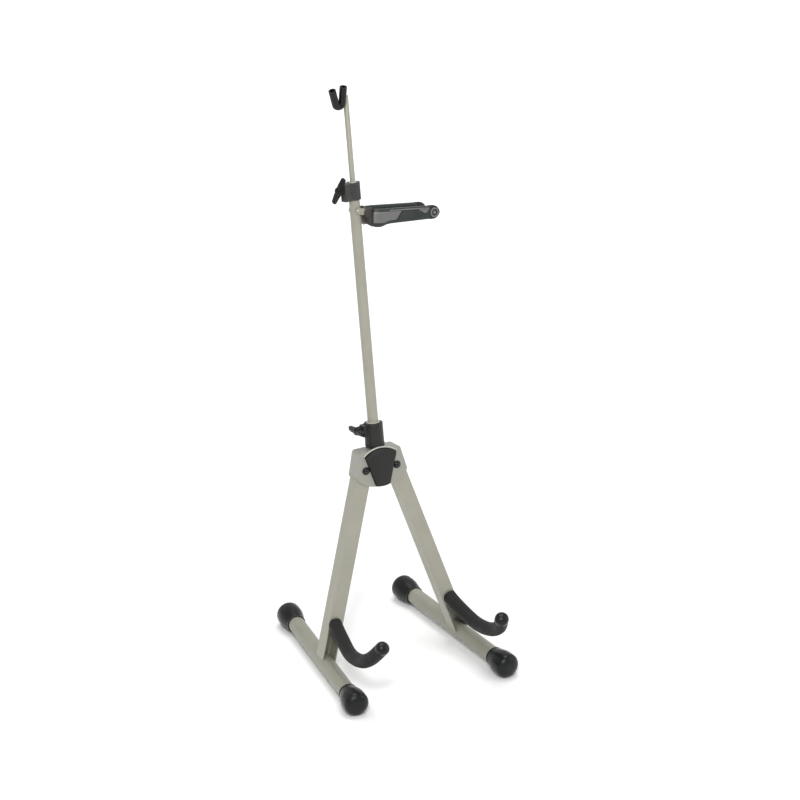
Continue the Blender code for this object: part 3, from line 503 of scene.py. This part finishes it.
def make_head():
    """The cover with its bevelled near-black rim, a painted shade of the gap round the cover, and its crowned
    face; the pressed ridge above it in lighter paint as a painted highlight; and the bolts.
    """
    # Near-black rim just outside the cover's outline: painted shade of the gap round the cover.
    rim = prism(cover_outline(-0.2 * MM), HEAD_FRONT - 1.5 * MM, HEAD_FRONT - 0.2 * MM)
    piece("head_cover_shade_rim", rim, DOME, "head", place=HEAD, bevel=0.4 * MM)
    shape = bmesh.new()
    rings = []
    rows = ((-0.3, 0.8), (-2.8, 0.8), (-3.6, 1.3), (-4.0, 2.2), (-4.1, 3.4), (-4.9, 4.2), (-5.3, 7.0),
            (-5.4, 8.6))
    for depth, inset in rows:
        outline = cover_outline(inset * MM)
        rings.append([shape.verts.new((x, HEAD_FRONT + depth * MM, z)) for x, z in outline])
    join_rings(shape, rings)
    piece("head_cover_moulded", shape, COVER, "head", ["head_cover"], HEAD, sharp=24)
    # The ridge is drawn in the lighter paint, a painted highlight along the top of the cover.
    ridge = [Vector((x, HEAD_FRONT - 0.1 * MM, z)) for x, z in crown(COVER_CROWN + 1.5 * MM, 51, 129, 30)]
    shape = swept(ridge, [1.2 * MM] * len(ridge), sweep_frames(ridge), 20)
    piece("head_ridge_highlight", shape, RIDGE_HIGHLIGHT_PAINT, "head", place=HEAD)
    for side, name in SIDES:
        make_bolt(side, name)


def make_bolt(side, name):
    base = -HEAD_FRONT + 0.3 * MM
    washer = turned([(6.1 * MM, base - 0.25 * MM), (6.1 * MM, base), (5.6 * MM, base + 0.2 * MM)], 48)
    place = HEAD @ Matrix.Translation((side * PIVOT_X, 0, 0)) @ TO_FRONT
    piece("pivot_washer_" + name, washer, DOME, "head", place=place)
    rows = [(5.1 * MM, base), (5.2 * MM, base + 0.5 * MM)]
    for a in (0, 15, 30, 45, 60, 74, 86):
        turn = math.radians(a)
        rows.append((5.0 * MM * math.cos(turn), base + 0.7 * MM + 3.1 * MM * math.sin(turn)))
    piece("pivot_dome_" + name, turned(rows, 48), DOME, "head", place=place)


# ---------------------------------------------------------------- collars and wing screws

def collar_outline(radius, groove, width):
    """Plan view of a clamp collar from above: a barrel with shallow grooves, and the lug towards -X."""
    half = width / 2
    meet = math.asin(half / radius)
    points = []
    steps = 72
    for k in range(steps + 1):
        a = -math.pi + meet + (2 * math.pi - 2 * meet) * k / steps
        dip = max(0.0, math.cos(9 * a) - 0.2) / 0.8
        points.append(((radius - groove * dip) * math.cos(a), (radius - groove * dip) * math.sin(a)))
    corner = 2.2 * MM
    points += arc((-CLAMP_REACH + corner, half - corner), corner, 90, 180, 6)
    points += arc((-CLAMP_REACH + corner, -half + corner), corner, 180, 270, 6)
    return points


def ring_prism(outline, bore, low, high):
    """A prism with a round hole of the given radius along its middle."""
    shape = bmesh.new()
    rings = []
    for hole, depth in ((False, low), (False, high), (True, high), (True, low)):
        ring = []
        for x, y in outline:
            scale = bore / math.hypot(x, y) if hole else 1.0
            ring.append(shape.verts.new((x * scale, y * scale, depth)))
        rings.append(ring)
    join_rings(shape, rings, closed=True)
    return shape


def circle(radius):
    return arc((0, 0), radius, 0, 355, 71)


def lower_collar_piece(label, shape, bevel, replaced=(), turn=0.0):
    place = MAST @ Matrix.Rotation(math.radians(turn), 4, 'Z')
    piece("lower_collar_" + label, shape, COLLAR, "head", replaced, place, bevel)


def make_lower_collar():
    """The barrel with its lug, one upright rib, a lip round the top and a band near the foot."""
    barrel = ring_prism(circle(COLLAR_R), MAST_R + 2.4 * MM, COLLAR_LOW, COLLAR_TOP)
    lower_collar_piece("moulded", barrel, 1.1 * MM, ["lower_collar"])
    lug = collar_outline(COLLAR_R - 0.25 * MM, 0.0, LUG_WIDTH)
    lower_collar_piece("lug", ring_prism(lug, MAST_R + 2.6 * MM, LUG_LOW, LUG_TOP), 1.0 * MM)
    outer, inner, half = -COLLAR_R - 1.4 * MM, -COLLAR_R + 1 * MM, 3.2 * MM
    corners = [(outer, -half), (inner, -half), (inner, half), (outer, half)]
    rib = prism(corners, COLLAR_LOW + 1 * MM, COLLAR_TOP - 1 * MM, 'XY')
    lower_collar_piece("rib", rib, 0.7 * MM, turn=28)
    heights = COLLAR_TOP - 1 * MM, COLLAR_TOP + 0.5 * MM
    lip = ring_prism(circle(COLLAR_R - 1.6 * MM), MAST_R + 2.5 * MM, *heights)
    lower_collar_piece("lip", lip, 0.4 * MM)
    heights = COLLAR_LOW + 2 * MM, COLLAR_LOW + 5.5 * MM
    band = ring_prism(circle(COLLAR_R + 0.35 * MM), COLLAR_R - 1 * MM, *heights)
    lower_collar_piece("band", band, 0.4 * MM)


def make_upper_collar():
    shape = ring_prism(collar_outline(TOP_R, 1.0 * MM, TOP_LUG_WIDTH), ROD_R + 2.2 * MM, TOP_LOW, TOP_TOP)
    piece("upper_collar_moulded", shape, UPPER_COLLAR, "mast", ["upper_collar"],
          MAST @ Matrix.Rotation(TOP_TURN, 4, 'Z'), 0.6 * MM)


def wing_outline():
    """One blade in (span, axial) terms, deep at the hub and tapered to a rounded tip."""
    tip = arc((WING_SPAN - 3.5 * MM, 6.6 * MM), 3.4 * MM, -65, 100, 8)
    return [(1.0 * MM, 0.5 * MM), (7.5 * MM, 0.9 * MM), (14.5 * MM, 2.4 * MM)] + tip + [
        (13.5 * MM, 11.0 * MM), (7.0 * MM, 11.2 * MM), (1.0 * MM, 10.8 * MM)]


def make_wing(label, place, body):
    rows = [(6.6, 0.0), (6.8, 0.5), (6.7, 3.0), (6.4, 7.0), (5.8, 9.4), (4.6, 10.9), (2.6, 11.6), (0.6, 11.7)]
    hub = turned([(radius * MM, WING_START + height * MM) for radius, height in rows], 48)
    knob = label + "_wing_knob"
    piece(label + "_wing_hub", hub, WING, body, [knob], place)
    for side, name in SIDES:
        outline = [(side * span, WING_START + axial) for span, axial in wing_outline()]
        blade = prism(outline, -3.3 * MM, 3.3 * MM)
        piece(label + "_wing_blade_" + name, blade, WING, body, place=place,
              bevel=1.6 * MM)


# ---------------------------------------------------------------- mast, rod and top hook

def make_mast():
    tube = turned([(MAST_R, MAST_LOW), (MAST_R, MAST_TOP)])
    piece("mast_tube_skin", tube, PAINT, "mast", ["mast_tube"], MAST)
    rod = turned([(ROD_R, ROD_LOW), (ROD_R, ROD_TOP - 1.2 * MM), (ROD_R - 0.5 * MM, ROD_TOP - 0.3 * MM),
                  (ROD_R - 1.4 * MM, ROD_TOP)], 40)
    piece("rod_skin", rod, PAINT, "rod", ["rod"], MAST)


def top_hook_curve():
    """Centre line of the bow hook: a prong, the bend and the other prong."""
    bend, splay = TOP_SLEEVE_R + 0.3 * MM, math.radians(9.0)
    rise = Vector(TOP_HOOK_RISE).normalized()
    spread = Vector((1, 0.08, 0))
    spread = (spread - rise * spread.dot(rise)).normalized()
    centre = Vector(TOP_HOOK_LOW) * MM + rise * bend
    turns = [math.pi + splay + (math.pi - 2 * splay) * k / 24 for k in range(25)]
    bottom = [centre + bend * (spread * math.cos(a) + rise * math.sin(a)) for a in turns]
    left, right = [rise * math.cos(splay) + spread * math.sin(splay) * side for side in (-1, 1)]
    reaches = [TOP_PRONG * k / 8 for k in range(1, 9)]
    return ([bottom[0] + left * reach for reach in reversed(reaches)] + bottom
            + [bottom[-1] + right * reach for reach in reaches])


def make_top_hook():
    """Rubber hose on the wire hook, hollow at both ends."""
    curve = top_hook_curve()
    frames = sweep_frames(curve)
    bore, hose = [HOOK_WIRE_R + 1.0 * MM] * 2, TOP_SLEEVE_R + 0.4 * MM
    path = [curve[2], curve[0], *curve, curve[-1], curve[-3]]
    spans = [frames[2], frames[0], *frames, frames[-1], frames[-3]]
    shape = swept(path, bore + [hose] * len(curve) + bore, spans, 28)
    piece("top_hook_hose", shape, RUBBER, "rod", ["top_hook_sleeve", "top_hook_wire"], MAST,
          bevel=0.5 * MM)


# ---------------------------------------------------------------- yoke

def fork_heights(u, n):
    """Lower and upper edge of the fork; its back is notched around the bracket."""
    taper = min(max((u - 20 * MM) / (YOKE_TIP - 20 * MM), 0.0), 1.0)
    half = BACK_HALF + (TIP_R - BACK_HALF) * taper
    lobe = LOBE * min(1.0, max(0.0, (45 * MM - u) / (11 * MM)))
    if u > YOKE_TIP:
        half = math.sqrt(max(TIP_R ** 2 - (u - YOKE_TIP) ** 2, (0.9 * MM) ** 2))
    back = min(1.0, max(0.0, (YOKE_BEND - 9 * MM - u) / (8.5 * MM)))
    low, high = -YOKE_DROP - half - lobe + 5 * MM * back ** 2, -YOKE_DROP + half - 2 * MM * back ** 2
    notched = u < YOKE_BEND and abs(n) < NOTCH_HALF
    return (low, NOTCH_FLOOR) if notched else (low, high)


def back_line(offset, low_turn=-90, high_turn=90, steps=28):
    """Plan line round the back of the fork; the turn is zero at the very back, and positive towards +Y."""
    half = PRONG_HALF - offset
    turns = [math.radians(180 - low_turn - (high_turn - low_turn) * k / steps) for k in range(steps + 1)]
    return [(YOKE_BEND + half * math.cos(a), half * math.sin(a)) for a in turns]


def fork_line(offset, reach):
    """Plan line along one prong, round the back and along the other."""
    half = PRONG_HALF - offset
    straight = [YOKE_BEND + (reach - YOKE_BEND) * k / 14 for k in range(1, 15)]
    return [(u, -half) for u in reversed(straight)] + back_line(offset) + [(u, half) for u in straight]


def loft_fork(line, thick, heights, grow=0.0, squareness=0.42):
    """Lofts a rounded section along a plan line of the fork."""
    shape = bmesh.new()
    rings = []
    for k, (u, n) in enumerate(line):
        ahead, behind = line[min(k + 1, len(line) - 1)], line[max(k - 1, 0)]
        along = Vector((ahead[0] - behind[0], ahead[1] - behind[1], 0)).normalized()
        side = Vector((-along.y, along.x, 0))
        low, high = heights(u, n)
        half, tall, middle = thick / 2 + grow, (high - low) / 2 + grow, (high + low) / 2
        rounding = min(1.0, max(0.0, (YOKE_BEND + 8 * MM - u) / (22 * MM)))
        power = squareness + (0.85 - squareness) * rounding
        ring = []
        for a in (2 * math.pi * (j + 0.5) / 28 for j in range(28)):
            c, t = math.cos(a), math.sin(a)
            out = math.copysign(abs(c) ** power, c) * half
            up = math.copysign(abs(t) ** power, t) * tall
            ring.append(shape.verts.new(Vector((u, n, middle + up)) + side * out))
        rings.append(ring)
    join_rings(shape, rings)
    return shape


def make_yoke():
    tips = [YOKE_TIP + TIP_R * math.sin(math.radians(a)) for a in (15, 30, 43, 55, 66, 75, 82, 87)]
    line = fork_line(0.0, YOKE_TIP)
    line = [(u, -PRONG_HALF) for u in reversed(tips)] + line + [(u, PRONG_HALF) for u in tips]
    fork = loft_fork(line, PRONG_THICK, fork_heights)
    piece("yoke_fork_moulded", fork, YOKE_PLATE, "yoke", ["yoke_fork"], YOKE, sharp=70)
    pad = loft_fork(back_line(0.0, -39, 39, 24), PRONG_THICK, pad_heights, 0.9 * MM, 0.5)
    piece("yoke_back_pad", pad, YOKE_BACK, "yoke", place=YOKE, sharp=70)
    make_bracket()
    liner = loft_fork(fork_line(PRONG_THICK / 2 + 1.25 * MM, 116 * MM), 2.5 * MM, liner_heights)
    piece("yoke_liner_soft", liner, RUBBER, "yoke", ["yoke_liner"], YOKE, sharp=70)
    for side, name in SIDES:
        make_yoke_side(side, name)


def make_bracket():
    """The two cheeks from the mast's rivets into the yoke, each held by an ear of the soft back."""
    end, inner, outer = 13 * MM, 8.3 * MM, 9.8 * MM
    outline = arc((0, 0), 5.2 * MM, 75, 255, 16)
    outline += [(8 * MM, -6.0 * MM), (end, -5.8 * MM), (end, 1.8 * MM), (8 * MM, 3.6 * MM)]
    shape = bmesh.new()
    for side, _ in SIDES:
        rings = []
        for depth in (inner, outer):
            rings.append([shape.verts.new((u, side * depth, z)) for u, z in outline])
        join_rings(shape, rings)
    piece("yoke_bracket_cheeks", shape, PAINT, "yoke", ["yoke_bracket"], YOKE, bevel=0.4 * MM)
    ear = arc((17 * MM, -3.2 * MM), 7.6 * MM, 90, 270, 20) + [(22 * MM, -10.8 * MM), (22 * MM, 4.4 * MM)]
    for side, name in SIDES:
        depths = sorted((side * (inner - 0.1 * MM), side * (outer + 2.6 * MM)))
        piece("yoke_back_ear_" + name, prism(ear, *depths), YOKE_BACK, "yoke", place=YOKE,
              bevel=1.5 * MM)


def pad_heights(u, _):
    """The pad covers the notch and the bracket's screws."""
    return fork_heights(u, PRONG_HALF)


def liner_heights(u, n):
    """The soft lining is lower than the fork, and lower still in front of the notch."""
    low, high = fork_heights(max(u, YOKE_BEND + 8 * MM), n)
    if u < YOKE_BEND and abs(n) < NOTCH_HALF:
        high = NOTCH_FLOOR + 3 * MM
    return low * 0.72 - YOKE_DROP * 0.28, min(high * 0.72 - YOKE_DROP * 0.28, high - 1 * MM)


def panel_heights(u, n):
    """The rear trim panel: its end slants, so that its upper edge reaches further than its lower edge."""
    low, high = fork_heights(max(u, YOKE_BEND), n)
    low, high = low + 5.5 * MM, high - 4.2 * MM
    slant = min(1.0, max(0.0, (u - 58 * MM) / (9 * MM)))
    return low + (high - low - 0.4 * MM) * slant, high


def edge_point(u, upper, inset):
    """A point on a prong's outer face, inset from its upper or lower edge."""
    low, high = fork_heights(u, PRONG_HALF)
    return (u, high - inset) if upper else (u, low + inset)


def band(low_start, low_end, high_start, high_end, inset, top, steps=6):
    """A panel on a prong's outer face, between slanted ends given at its lower and upper edge."""
    spans = [k / steps for k in range(steps + 1)]
    lower = [edge_point((low_start + (low_end - low_start) * t) * MM, False, inset) for t in spans]
    return lower + [edge_point((high_end + (high_start - high_end) * t) * MM, True, top) for t in spans]


def make_yoke_side(side, name):
    """Trim round the rear, a light strip along the top that is a painted highlight of the top edge, the blank
    plate, the chevron and the tip.
    """
    face = side * (PRONG_HALF + PRONG_THICK / 2)
    line = back_line(-PRONG_THICK / 2, 48, 90, 12)
    line += [((38 + 29 * k / 20) * MM, PRONG_HALF + PRONG_THICK / 2) for k in range(21)]
    rear = loft_fork([(u, side * n) for u, n in line], 2.2 * MM, panel_heights, 0.0, 0.3)
    piece("yoke_trim_rear_" + name, rear, YOKE_TRIM, "yoke", ["yoke_trim_" + name],
          YOKE)
    plate = YOKE_PLATE, "black_plastic", ["yoke_plate_" + name]
    trim = YOKE_TRIM, "light_grey_plastic", []
    # Light strip along the top of the outer face: a painted highlight of the top edge catching light.
    highlight_strip = [edge_point((46 + 70 * t / 8) * MM, True, 3.6 * MM) for t in range(9)]
    highlight_strip += [edge_point((116 - 70 * t / 8) * MM, True, 1.9 * MM) for t in range(9)]
    panels = (("plate", band(61, 108, 70, 101, 3.2 * MM, 4.6 * MM), 0.7, plate),
              ("edge", highlight_strip, 0.9, trim),
              ("front", band(108.5, 111.5, 97, 118, 10.5 * MM, 3.6 * MM), 1.3, trim))
    for label, outline, height, (look, slot, replaced) in panels:
        depths = sorted((face - side * 0.6 * MM, face + side * height * MM))
        piece("yoke_%s_%s" % (label, name), prism(outline, *depths), look, "yoke", replaced, YOKE,
              bevel=0.3 * MM)
    make_yoke_tip(side, name, face)


def make_yoke_tip(side, name, face):
    """Black end cap of a prong, and on its outer face a grey ring round a dark well with a boss."""
    turns = (-35, -20, -5, 10, 25, 38, 50, 62, 72, 81, 87)
    tips = [YOKE_TIP + TIP_R * math.sin(math.radians(a)) for a in turns]
    cap = loft_fork([(u, side * PRONG_HALF) for u in tips], PRONG_THICK, fork_heights, 0.45 * MM)
    piece("yoke_tip_cap_" + name, cap, BLACK, "yoke", place=YOKE, sharp=70)
    place = YOKE @ Matrix.Translation((YOKE_TIP, face, -YOKE_DROP)) @ (TO_BACK if side > 0 else TO_FRONT)
    node = "yoke_tip_button_" + name
    ring = [(7.3, 0.0), (7.3, 1.3), (7.0, 1.9), (6.4, 2.1), (5.6, 2.1), (5.0, 1.8), (4.8, 1.2), (4.8, 0.2)]
    shape = turned([(radius * MM, height * MM) for radius, height in ring], 48, True)
    piece(node + "_ring", shape, YOKE_TRIM, "yoke", [node], place)
    well = turned([(4.9 * MM, 0.0), (4.9 * MM, 0.8 * MM), (4.6 * MM, 1.0 * MM)], 48)
    piece(node + "_well", well, BLACK, "yoke", place=place)
    boss = [(2.7, 0.6), (2.7, 1.4), (2.4, 1.8), (1.6, 2.0), (0.4, 2.05)]
    shape = turned([(radius * MM, height * MM) for radius, height in boss], 32)
    piece(node + "_boss", shape, YOKE_TRIM, "yoke", place=place)


# ---------------------------------------------------------------- build

make_camera()
make_floor()
make_world()
make_lights()
finish_nodes()
for side, name in SIDES:
    make_foot(side, name)
    make_hook(side, name)
make_head()
make_lower_collar()
make_upper_collar()
make_wing("lower", screw_frame(COLLAR_STUD, 0.0, 90.0), "lower_wing")
make_wing("upper", screw_frame(TOP_STUD, TOP_TURN, -35.0), "upper_wing")
make_mast()
make_top_hook()
make_yoke()
